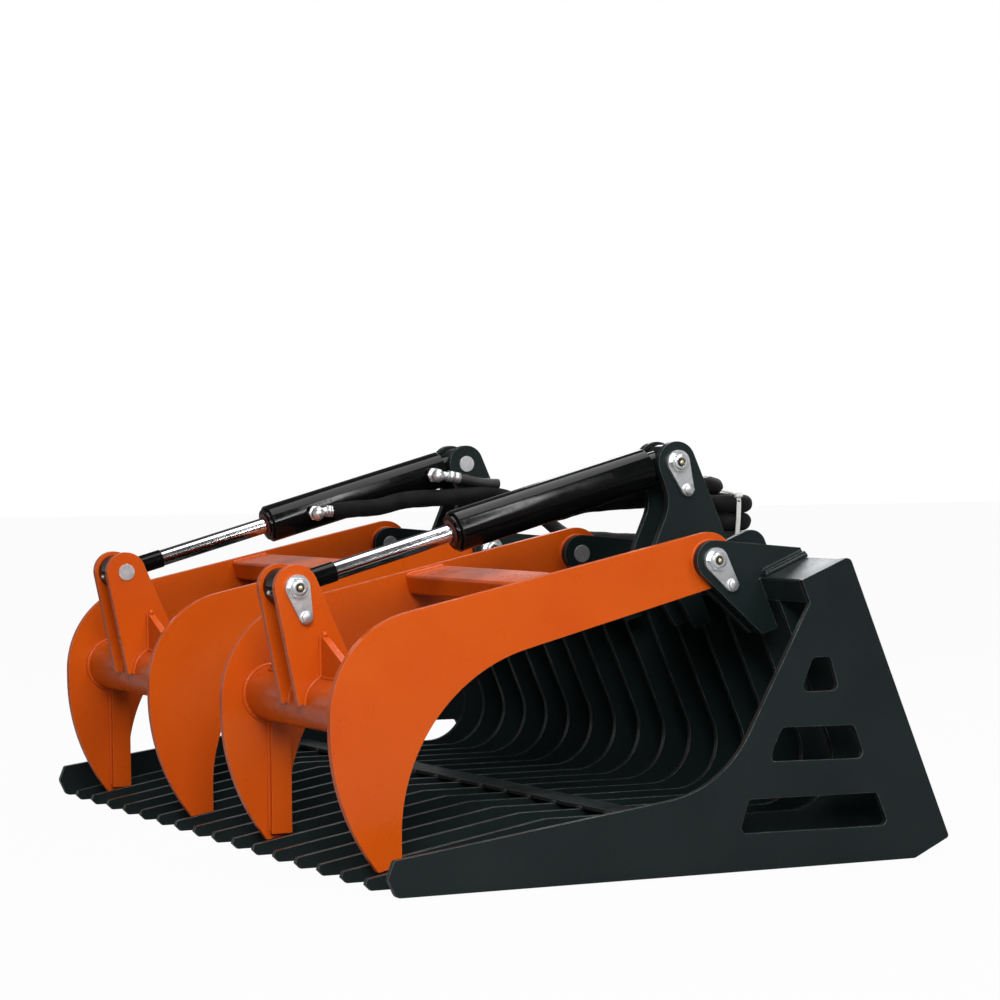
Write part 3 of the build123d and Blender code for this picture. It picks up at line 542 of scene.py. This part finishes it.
def add_sleeve(work, points, radius_at, seed=0.0, folds=0.075, sides=30):
    """Cloth tube with soft folds; the weave map runs in metres along and round it."""
    weave = work.loops.layers.uv.new(WEAVE_MAP)
    side_way = (points[1] - points[0]).normalized().orthogonal()
    rings, travel = [], [0.0]
    for before, after in zip(points, points[1:]):
        travel.append(travel[-1] + (after - before).length)
    for index, point in enumerate(points):
        ahead = (points[min(index + 1, len(points) - 1)] - points[max(index - 1, 0)]).normalized()
        side_way = (side_way - ahead * side_way.dot(ahead)).normalized()
        over = ahead.cross(side_way)
        radius = radius_at(travel[index] / travel[-1])
        ring = []
        for side in range(sides):
            turn = 2 * pi * side / sides
            soft = noise(Vector((cos(turn) * 0.9 + seed, sin(turn) * 0.9, travel[index] * 22)))
            fine = noise(Vector((cos(turn) * 2.4, sin(turn) * 2.4 + seed, travel[index] * 75)))
            reach = radius * (1 - folds * 0.5 + folds * soft + folds * 0.45 * fine)
            ring.append(work.verts.new(point + (side_way * cos(turn) + over * sin(turn)) * reach))
        rings.append(ring)
    for index, (first, second) in enumerate(zip(rings, rings[1:])):
        for side in range(sides):
            after = (side + 1) % sides
            face = work.faces.new((first[side], first[after], second[after], second[side]))
            corners = (side, side + 1, side + 1, side)
            round_way = [2 * pi * SLEEVE_RADIUS * corner / sides for corner in corners]
            along = (travel[index], travel[index], travel[index + 1], travel[index + 1])
            for loop, across, length in zip(face.loops, round_way, along):
                loop[weave].uv = (length, across)
    work.faces.new(list(reversed(rings[0])))
    work.faces.new(rings[-1])


def turn_with_barrel(piece):
    """Bakes the piece's placement into its mesh; the hoses run between the bucket and the barrel, beside the base
    pin, and ride on no body.
    """
    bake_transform(piece)


def barrel_sleeve(side_name):
    side = SIDES[side_name]
    route = [by_cylinder(side, *place) for place in BARREL_SLEEVE_ROUTE]
    rest = LEFT_SLEEVE_ROUTE if side < 0 else RIGHT_SLEEVE_ROUTE
    route += [over_beam(*place) for place in rest]
    points = smooth_line(route)
    barrel_share = 0.30 if side < 0 else 0.66

    def radius_at(share):
        slim = min(1.0, max(0.0, (share - barrel_share) / 0.12))
        mouth = 0.74 + 0.26 * min(1.0, share * (60 if side < 0 else 28))
        wide = SLEEVE_RADIUS + 0.0008 if side < 0 and share > 0.97 else SLEEVE_RADIUS
        return mouth * (BARREL_SLEEVE_RADIUS * (1 - slim) + wide * slim)

    piece = new_piece(f"{side_name}_sleeve", lambda work: add_sleeve(work, points, radius_at, side * 3.0),
                      SLEEVE, None)
    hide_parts(f"{side_name}_barrel_hoses", "beam_hoses")
    turn_with_barrel(piece)
    return piece


def port_hoses(side_name):
    """Bare hose between each port's fitting and the sleeve."""
    side = SIDES[side_name]
    lines = [smooth_line([by_cylinder(side, *place) for place in route])
             for route in (GLAND_HOSE_ROUTE, BASE_HOSE_ROUTE)]

    def fill(work):
        for line in lines:
            add_tube(work, line, lambda share: HOSE_RADIUS, 20)

    piece = new_piece(f"{side_name}_port_hoses", fill, RUBBER, None)
    turn_with_barrel(piece)


def hank_route():
    """The loader hose as it lies in its hank: loose turns on each other, then up into its coupler."""
    route = [at(*HANK_START), at(0.166, 0.7655, 0.4735)]
    near, far = HANK_ENDS
    for row in range(HANK_ROWS):
        level = HANK_FIRST_ROW + HANK_PITCH * row
        loose = (0.002, -0.003, 0.0005)[row]
        last = row == HANK_ROWS - 1
        front, rear = HANK_MIDDLE - HANK_BEND, HANK_MIDDLE + HANK_BEND + (0.005 if last else 0.0)
        for share in RUN_POINTS[1 if row == 0 else 0:]:
            route.append(at(near + (far + loose - near) * share, front, level))
        for degrees in FOLD_ANGLES:
            turn = radians(degrees)
            x = far + loose + FOLD_REACH * HANK_BEND * cos(turn)
            route.append(at(x, HANK_MIDDLE + FOLD_REACH * HANK_BEND * sin(turn), level))
        climb = (COUPLER_HEIGHT - level) if last else HANK_PITCH
        turn_at = near - (LAST_TURN_SHIFT if last else 0.0)
        for share, rise in zip(RUN_POINTS, (0.0, 0.0, 0.20, 0.25)):
            route.append(at(far + (turn_at - far) * share, rear, level + climb * rise))
        middle = (rear + COUPLER_MIDDLE - COUPLER_SPACING / 2) / 2 if last else HANK_MIDDLE
        bend = rear - middle
        for step, degrees in enumerate(reversed(FOLD_ANGLES)):
            turn = radians(degrees)
            rise = climb * ((0.38 if last else 0.32) + 0.19 * step)
            x = turn_at - FOLD_REACH * bend * cos(turn)
            route.append(at(x, middle + FOLD_REACH * bend * sin(turn), level + rise))
    for x in (turn_at, near):
        route.append(at(x, COUPLER_MIDDLE - COUPLER_SPACING / 2, COUPLER_HEIGHT))
    return route


def add_strap(work, points, wide_way, width, thickness):
    """Closed flat band through the points, its width along wide_way."""
    rings = []
    for index, point in enumerate(points):
        ahead = (points[(index + 1) % len(points)] - points[index - 1]).normalized()
        out = ahead.cross(wide_way).normalized()
        across = wide_way.normalized() * width / 2
        corners = (point + across + out * thickness, point - across + out * thickness,
                   point - across, point + across)
        rings.append([work.verts.new(corner) for corner in corners])
    for first, second in zip(rings, rings[1:] + rings[:1]):
        for side in range(4):
            work.faces.new((first[side], first[(side + 1) % 4], second[(side + 1) % 4], second[side]))


def cable_tie():
    """Grey tie round the hank's right bend, pulled tight, with its head on top and a cut tail."""
    loop = [(0.3925, 0.7800, 0.5400), (0.3935, 0.7775, 0.5060), (0.3925, 0.7750, 0.4760),
            (0.3860, 0.7735, 0.4632), (0.3720, 0.7730, 0.4622), (0.3640, 0.7745, 0.4760),
            (0.3625, 0.7775, 0.5060), (0.3630, 0.7800, 0.5370), (0.3680, 0.7815, 0.5500),
            (0.3850, 0.7815, 0.5515)]
    corners = [at(*place) for place in loop]
    rounded = []
    for before, here, after in zip(corners[-1:] + corners, corners, corners[1:] + corners[:1]):
        for share in (0.0, 0.25, 0.5, 0.75):
            first = (before + here) / 2
            last = (here + after) / 2
            rounded.append(first.lerp(here, share).lerp(here.lerp(last, share), share))
    head = at(0.3890, 0.7808, 0.5490)
    tail_route = ((0.3875, 0.7720, 0.5530), (0.3845, 0.7630, 0.5555), (0.3815, 0.7540, 0.5570))
    tail = smooth_line([head] + [at(*place) for place in tail_route])

    def fill(work):
        add_strap(work, rounded, Vector((0, 1, 0.05)), 0.0076, 0.0014)
        add_box(work, head, (0.0090, 0.0120, 0.0085), -0.4)
        add_tube(work, tail, lambda share: 0.0021, 8)

    return new_piece("hank_tie", fill, TIE, "bucket")


def add_box(work, centre, size, tilt=0.0, bevel=0.0012):
    """Small block with rounded edges, tilted about Y."""
    turn = Matrix.Rotation(tilt, 4, "Y")
    place = Matrix.Translation(centre) @ turn @ Matrix.Diagonal((*size, 1))
    made = bmesh.ops.create_cube(work, size=1.0, matrix=place)
    edges = list(dict.fromkeys(edge for vertex in made["verts"] for edge in vertex.link_edges))
    bmesh.ops.bevel(work, geom=edges, offset=bevel, segments=2, affect="EDGES")


def quick_couplers():
    """Two quick couplers on the hank, with knurled sleeves; they point opposite ways."""
    def fill(work):
        for way, near in ((-1, 0.262), (1, 0.170)):
            origin = at(near, COUPLER_MIDDLE - way * COUPLER_SPACING / 2, COUPLER_HEIGHT)
            direction = Vector((way, 0, 0))
            profile = [(0.000, 0.0095), (0.001, 0.0118), (0.012, 0.0118), (0.013, 0.0132), (0.016, 0.0132)]
            for groove in range(5):
                start = 0.017 + 0.004 * groove
                profile += [(start, 0.0124), (start + 0.001, 0.0134), (start + 0.003, 0.0134)]
            profile += [(0.038, 0.0124), (0.040, 0.0100), (0.070, 0.0098), (0.071, 0.0088), (0.076, 0.0088),
                        (0.077, 0.0098), (0.090, 0.0096), (0.092, 0.0084), (0.092, 0.0060), (0.086, 0.0056)]
            add_lathe(work, origin, direction, profile, 36)

    piece = new_piece("couplers", fill, IRON, "bucket")
    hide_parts("hose_couplers")
    return piece


def hank():
    """The hank of loader hose, with its couplers and tie."""
    path = smooth_line(hank_route())
    couplers, tie = quick_couplers(), cable_tie()

    def fill(work):
        add_sleeve(work, path, lambda share: HANK_HOSE_RADIUS, 7.0, 0.07)

    hose = new_piece("hank_hose", fill, SLEEVE, "bucket")
    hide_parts("hose_hank")


for name in SIDES:
    barrel_sleeve(name)
    port_hoses(name)
hank()


# Fittings, pin heads and bolts


ELBOW_RADIUS = 0.0080


def blob(work, centre, radius=0.0048):
    bmesh.ops.create_icosphere(work, subdivisions=3, radius=radius, matrix=Matrix.Translation(centre))


def port_fittings(side_name):
    """Elbow on each barrel port, with its nut and the crimped end of the hose."""
    side = SIDES[side_name]
    inward = Vector((-side, 0, 0))
    runs = (((0.309, 0.0455, 0.001), (0.309, 0.0565, 0.002), (0.292, 0.0550, 0.002)),
            ((0.070, 0.0455, 0.001), (0.068, 0.0565, 0.003), (0.046, 0.0545, 0.010)))
    crimps = (((0.294, 0.0550, 0.0015), (0.280, 0.054, 0.006)),
              ((0.050, 0.0545, 0.008), (0.028, 0.0545, 0.019)))

    def fill(work):
        for run in runs:
            seat = by_cylinder(side, *run[0]) - inward * 0.001
            add_lathe(work, seat, inward, [(0, 0.0140), (0.0040, 0.0140), (0.0050, 0.0126)], 6)
            line = smooth_line([by_cylinder(side, *place) for place in run])
            add_tube(work, line, lambda share: ELBOW_RADIUS, 16)
            blob(work, by_cylinder(side, *run[1]), 0.0122)
        for start, end in crimps:
            first, last = by_cylinder(side, *start), by_cylinder(side, *end)
            length = (last - first).length
            profile = [(0, 0.0086), (0.001, 0.0102)]
            for ring in range(2):
                step = 0.0025 + ring * (length - 0.004) / 2
                profile += [(step, 0.0103), (step + 0.001, 0.0095)]
                profile += [(step + 0.002, 0.0095), (step + 0.003, 0.0103)]
            profile += [(length - 0.001, 0.0102), (length, 0.0096)]
            add_lathe(work, first, last - first, profile, 24)

    new_piece(f"{side_name}_port_fittings", fill, ZINC, f"{side_name}_barrel")


def pin_faces():
    """Each pin head: its body, the middle of its outer face, outward direction, keeper's angle."""
    for side_name, side in SIDES.items():
        away = EAR_INNER + PLATE_THICKNESS + KEEPER_TOP + PIN_HEAD_HEIGHT
        outward = Vector((side, 0, 0))
        for place, way in ((ARM_X + CLAW_HALF + away, outward), (ARM_X - CLAW_HALF - away, -outward)):
            yield "bucket", Vector((side * place, PIVOT_Y, PIVOT_Z)), way, -54
        reach = ARM_X + LUG_INNER + PLATE_THICKNESS + KEEPER_TOP + PIN_HEAD_HEIGHT
        yield "bucket", Vector((side * reach, BASE_PIN.y, BASE_PIN.z)), outward, -69
        yield f"{side_name}_arm", Vector((side * reach, ROD_PIN.y, ROD_PIN.z)), outward, -74


KEEPER_LENGTH = 0.046
HEAD_RING = [(0, 0.0120), (0.0012, 0.0120), (0.0022, 0.0110), (0.0022, 0.0076), (0.0004, 0.0069)]
# Thin black disc on each pin head's face: painted shade where the head is recessed round the nipple.
HEAD_RECESS_SHADE = [(0, 0.0066), (0.0008, 0.0064)]
NIPPLE = [(0.0004, 0.0028), (0.0018, 0.0036), (0.0030, 0.0036),
          (0.0034, 0.0022), (0.0044, 0.0026), (0.0052, 0.0016)]
KEEPER_BOLT = [(0, 0.0089), (0.0050, 0.0089), (0.0058, 0.0078)]
KEEPER_WASHER = [(0, 0.0101), (0.0012, 0.0101), (0.0015, 0.0097)]


def turned_set(name, spots, profile, material, body, sides=32):
    """One piece made of the same turned shape at each spot (place, direction)."""
    def fill(work):
        for place, way in spots:
            add_lathe(work, place, way, profile, sides)

    return new_piece(name, fill, material, body)


def pin_details():
    """Ring, a black disc of painted shade in the recess, and nipple on each pin head, and the bolt at its keeper's
    tail.
    """
    heads = list(pin_faces())
    for body in sorted({head[0] for head in heads}):
        mine = [head for head in heads if head[0] == body]
        centres = [(place, way) for _, place, way, _ in mine]
        bolts = []
        for _, place, way, degrees in mine:
            turn = radians(degrees)
            tail = Vector((0, cos(turn), sin(turn))) * KEEPER_LENGTH
            bolts.append((place - way * PIN_HEAD_HEIGHT + tail, way))
        turned_set(f"{body}_pin_rings", centres, HEAD_RING, ZINC, body)
        turned_set(f"{body}_pin_recess_shades", centres, HEAD_RECESS_SHADE, RUBBER, body)
        turned_set(f"{body}_grease_nipples", centres, NIPPLE, BRASS, body, 16)
        turned_set(f"{body}_keeper_bolts", bolts, KEEPER_BOLT, ZINC, body, 6)
        turned_set(f"{body}_keeper_washers", bolts, KEEPER_WASHER, ZINC, body)


def cylinder_details(side_name):
    """Rod wiper, spanner holes drawn as black discs of painted shade, and weld at the barrel's ends, and the
    nipple on the rod eye.
    """
    side = SIDES[side_name]
    face = by_cylinder(side, GLAND_FACE)

    def wiper(work):
        section = [(0, 0.0150), (0.0012, 0.0205), (0.0020, 0.0195), (0.0034, 0.0160),
                   (0.0036, ROD_RADIUS + 0.0003)]
        add_lathe(work, face, ALONG_ROD, section, 40, hollow=True)

    # Each spanner hole is a thin black disc on the gland face: painted shade in place of the hole.
    def hole_shades(work):
        across = ALONG_ROD.cross(Vector((1, 0, 0)))
        for turn in (45, 135, 225, 315):
            spoke = Vector((1, 0, 0)) * cos(radians(turn)) + across * sin(radians(turn))
            add_lathe(work, face + spoke * 0.0238, ALONG_ROD, [(0, 0.0021), (0.0003, 0.0021)], 16)

    def beads(work):
        for distance, radius in ((0.0375, 0.0302), (0.3815, 0.0300)):
            ring = by_cylinder(side, distance)
            section = [(0, radius - 0.004), (-0.0012, radius - 0.001),
                       (0.0004, radius + 0.0020), (0.002, radius)]
            add_lathe(work, ring, ALONG_ROD, section, 48, hollow=True)

    new_piece(f"{side_name}_wiper", wiper, WIPER, f"{side_name}_barrel")
    new_piece(f"{side_name}_spanner_hole_shades", hole_shades, RUBBER, f"{side_name}_barrel")
    new_piece(f"{side_name}_barrel_beads", beads, GLOSS, f"{side_name}_barrel")
    eye = Vector((side * ARM_X, ROD_PIN.y, ROD_PIN.z))
    spots = [(eye + ALONG_ROD * (EYE_RADIUS - 0.0006), ALONG_ROD)]
    turned_set(f"{side_name}_eye_nipple", spots, NIPPLE, ZINC, f"{side_name}_rod", 16)


# Weld beads

BEAD_LIFT = 0.0006


def arm_welds(side_name):
    """Beads where the claws, tube, cross member, lugs and gussets of an arm meet."""
    side = SIDES[side_name]
    tube_y, tube_z = TUBE_PLACE
    lug_face = LUG_INNER + PLATE_THICKNESS

    def spot(x, y, z):
        return at(side * x, y, z)

    def fill(work):
        for middle, inward in ((ARM_X + CLAW_HALF, -1), (ARM_X - CLAW_HALF, 1)):
            face = middle + inward * (CLAW_THICKNESS / 2 + BEAD_LIFT)
            weld_ring(work, spot(face, tube_y, tube_z), TUBE_RADIUS + BEAD_LIFT, 0.0046)
            weld_line(work, spot(face, 0.0505, 0.030), spot(face, 0.0505, 0.205), 0.0030)
            for way in (-1, 1):
                boss = Vector((side * (middle + way * CLAW_THICKNESS / 2), PIVOT_Y, PIVOT_Z))
                weld_ring(work, boss, 0.0302, 0.0024)
            for start, end in member_sides():
                weld_line(work, spot(face, *start), spot(face, *end), 0.0030)
        for way in (-1, 1):
            for reach in (LUG_INNER, lug_face):
                centre = spot(ARM_X + way * reach, tube_y, tube_z)
                weld_ring(work, centre, TUBE_RADIUS + BEAD_LIFT, 0.0036, share=0.39, start=radians(41))
            for depth, height in ((0.0370, 0.2875), (0.0490, 0.2908)):
                near = ARM_X + way * (lug_face + BEAD_LIFT)
                weld_line(work, spot(near, depth, height), spot(near, depth, 0.350), 0.0032)
                weld_line(work, spot(near, depth, height), spot(near + way * 0.132, depth, height), 0.0032)
            blob(work, spot(ARM_X + way * (lug_face + 0.002), 0.043, 0.3515), 0.0055)

    new_piece(f"{side_name}_arm_welds", fill, ORANGE, f"{side_name}_arm")


def member_sides():
    """The cross member's four outer edges, as drawn (y, z) ends."""
    slope = radians(12.2)
    middle = (0.32526, 0.41842)
    corners = []
    for along, over in ((-0.032, -0.016), (0.032, -0.016), (0.032, 0.016), (-0.032, 0.016)):
        corners.append((middle[0] + along * cos(slope) - over * sin(slope),
                        middle[1] + along * sin(slope) + over * cos(slope)))
    return list(zip(corners, corners[1:] + corners[:1]))


def bucket_welds():
    """Beads under the ears, towers and bracket, and where the strip crosses the tines."""
    def fill(work):
        for side in SIDES.values():
            for way in (-1, 1):
                for reach in (LUG_INNER, LUG_INNER + PLATE_THICKNESS):
                    x = side * (ARM_X + way * reach)
                    weld_line(work, on_back(x, 0.4675, -0.089), on_back(x, 0.4675, -0.012), 0.0036)
                    weld_line(work, on_back(x, 0.466, -0.0905), on_back(x, 0.431, -0.0905), 0.0036)
                centre = ARM_X + way * CLAW_HALF
                for turn in (-1, 1):
                    pad_end = side * (centre + turn * 0.0350)
                    pad_front = on_back(pad_end, 0.4690, -0.0815)
                    weld_line(work, pad_front, on_back(pad_end, 0.4690, -0.0065), 0.0040)
                    blob(work, pad_front, 0.0052)
                    for reach in (EAR_INNER, EAR_INNER + PLATE_THICKNESS):
                        ear = side * (centre + turn * reach)
                        weld_line(work, on_back(ear, 0.4755, -0.080), on_back(ear, 0.4755, -0.007), 0.0032)
                        weld_line(work, on_back(ear, 0.466, -0.0905), on_back(ear, 0.431, -0.0905), 0.0032)
                front = on_back(side * (centre - 0.035), 0.4690, -0.0820)
                weld_line(work, front, front + Vector((side * 0.070, 0, 0)), 0.0038)
        for way in (-1, 1):
            bracket = 0.540 + way * 0.0048
            weld_line(work, on_back(bracket, 0.4675, -0.080), on_back(bracket, 0.4675, -0.012), 0.0032)
        pitch = TINE_SPAN / TINE_GAPS
        for index in range(1, TINE_GAPS):
            x = pitch * index - TINE_SPAN / 2
            for y in (0.4395, 0.4905):
                weld_line(work, at(x - 0.007, y, 0.0755), at(x + 0.007, y, 0.0755), 0.0030)

    new_piece("bucket_welds", fill, BLACK, "bucket")


for name in SIDES:
    port_fittings(name)
    cylinder_details(name)
    arm_welds(name)
pin_details()
bucket_welds()


# Light, floor and backdrop


def area_light(name, place, target, size, power, colour=(1, 1, 1)):
    data = bpy.data.lights.new(name, "AREA")
    data.shape = "RECTANGLE"
    data.size, data.size_y = size
    data.energy = power
    data.color = colour
    lamp = bpy.data.objects.new(name, data)
    aim = (Vector(target) - Vector(place)).to_track_quat("-Z", "Y")
    lamp.matrix_world = Matrix.Translation(Vector(place)) @ aim.to_matrix().to_4x4()
    bpy.context.scene.collection.objects.link(lamp)


MIRRORED_LOW = 0.80
MIRRORED_HIGH = 0.16
MIRRORED_FADE = 0.42
DOME_STRENGTH = 0.11
FLOOR_TONE = (0.38, 0.38, 0.38, 1)
FLOOR_GLOW_SHARE = 0.965
FLOOR_REACH = 30.0
FLOOR_HEIGHT = -0.0005


def make_world():
    """White behind the object, a dim dome on it, and a mirrored sky that darkens upwards."""
    world = bpy.data.worlds.new("studio")
    bpy.context.scene.world = world
    world.use_nodes = True
    tree = world.node_tree
    backdrop = tree.nodes["Background"]
    backdrop.inputs["Color"].default_value = (1, 1, 1, 1)
    backdrop.inputs["Strength"].default_value = 1.0
    mirrored = tree.nodes.new("ShaderNodeBackground")
    direction = tree.nodes.new("ShaderNodeTexCoord")
    height = tree.nodes.new("ShaderNodeSeparateXYZ")
    fade = tree.nodes.new("ShaderNodeMapRange")
    limits = (("From Min", 0.0), ("From Max", MIRRORED_FADE),
              ("To Min", MIRRORED_LOW), ("To Max", MIRRORED_HIGH))
    for key, value in limits:
        fade.inputs[key].default_value = value
    tree.links.new(direction.outputs["Generated"], height.inputs[0])
    tree.links.new(height.outputs["Z"], fade.inputs["Value"])
    tree.links.new(fade.outputs["Result"], mirrored.inputs["Strength"])
    dome = tree.nodes.new("ShaderNodeBackground")
    dome.inputs["Color"].default_value = (0.93, 0.96, 1.0, 1)
    dome.inputs["Strength"].default_value = DOME_STRENGTH
    path = tree.nodes.new("ShaderNodeLightPath")
    clear = tree.nodes.new("ShaderNodeMath")
    clear.operation = "MAXIMUM"
    tree.links.new(path.outputs["Is Glossy Ray"], clear.inputs[0])
    tree.links.new(path.outputs["Is Transmission Ray"], clear.inputs[1])
    blend = tree.nodes.new("ShaderNodeMixShader")
    tree.links.new(clear.outputs[0], blend.inputs[0])
    tree.links.new(mirrored.outputs[0], blend.inputs[2])
    tree.links.new(dome.outputs[0], blend.inputs[1])
    direct = tree.nodes.new("ShaderNodeMixShader")
    tree.links.new(path.outputs["Is Camera Ray"], direct.inputs[0])
    tree.links.new(blend.outputs[0], direct.inputs[1])
    tree.links.new(backdrop.outputs[0], direct.inputs[2])
    tree.links.new(direct.outputs[0], tree.nodes["World Output"].inputs["Surface"])


def make_floor():
    """Pale floor: mostly white to the camera, with the object's soft shadow kept."""
    material = bpy.data.materials.new("floor")
    material.use_nodes = True
    tree = material.node_tree
    surface = tree.nodes["Principled BSDF"]
    surface.inputs["Base Color"].default_value = FLOOR_TONE
    surface.inputs["Roughness"].default_value = 0.9
    surface.inputs["Specular IOR Level"].default_value = 0.1
    glow = tree.nodes.new("ShaderNodeEmission")
    glow.inputs["Strength"].default_value = 1.0
    path = tree.nodes.new("ShaderNodeLightPath")
    share = tree.nodes.new("ShaderNodeMath")
    share.operation = "MULTIPLY"
    share.inputs[1].default_value = FLOOR_GLOW_SHARE
    tree.links.new(path.outputs["Is Camera Ray"], share.inputs[0])
    blend = tree.nodes.new("ShaderNodeMixShader")
    tree.links.new(share.outputs[0], blend.inputs[0])
    tree.links.new(surface.outputs[0], blend.inputs[1])
    tree.links.new(glow.outputs[0], blend.inputs[2])
    tree.links.new(blend.outputs[0], tree.nodes["Material Output"].inputs["Surface"])
    mesh = bpy.data.meshes.new("floor")
    reach, low = FLOOR_REACH, FLOOR_HEIGHT
    corners = [(-reach, -reach, low), (reach, -reach, low), (reach, reach, low), (-reach, reach, low)]
    mesh.from_pydata(corners, [], [(0, 1, 2, 3)])
    mesh.materials.append(material)
    floor = bpy.data.objects.new("floor", mesh)
    bpy.context.scene.collection.objects.link(floor)


make_world()
make_floor()
area_light("key", (4.1, -2.0, 2.6), (0, 0, 0.2), (2.0, 2.0), 205, (1.0, 0.99, 0.95))
area_light("top", (0.2, 0.4, 3.4), (0, 0, 0.2), (2.6, 1.6), 80)
area_light("rim", (-2.8, 2.2, 2.4), (0, 0, 0.3), (2.0, 1.5), 45, (0.95, 0.97, 1.0))
area_light("strip", (3.5, 1.0, 2.75), (0.39, -0.1, 0.52), (0.12, 3.4), 46)

scene = bpy.context.scene
scene.view_settings.view_transform = "Standard"
